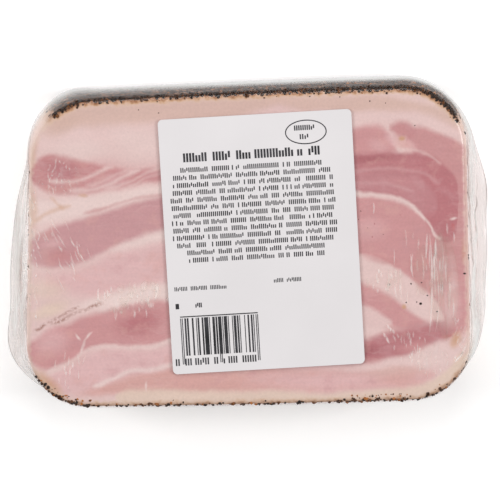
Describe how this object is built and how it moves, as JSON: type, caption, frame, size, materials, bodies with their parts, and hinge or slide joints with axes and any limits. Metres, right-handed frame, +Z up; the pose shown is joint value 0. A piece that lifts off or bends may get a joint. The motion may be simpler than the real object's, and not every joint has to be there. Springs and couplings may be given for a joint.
{
  "type": "bacon pack",
  "caption": "Slab of pressed streaky bacon with a peppered rind, sealed in clear vacuum film, with a printed paper label on its cut face",
  "frame": {"origin": "under the middle of the pack's length and width, on the flat back face that it lies on", "axes": "+X along the slab to its right-hand end in the picture, +Y towards the rind at the top of the picture, +Z up, out of the labelled cut face"},
  "size_m": [0.1536, 0.1026, 0.0343],
  "materials": {
    "film_over_bacon": "glossy clear film over pink meat",
    "label_paper": "semi-matt printed paper"
  },
  "bodies": {
    "root": {"sealed_pack": "film_over_bacon", "label": "label_paper"}
  },
  "joints": []
}
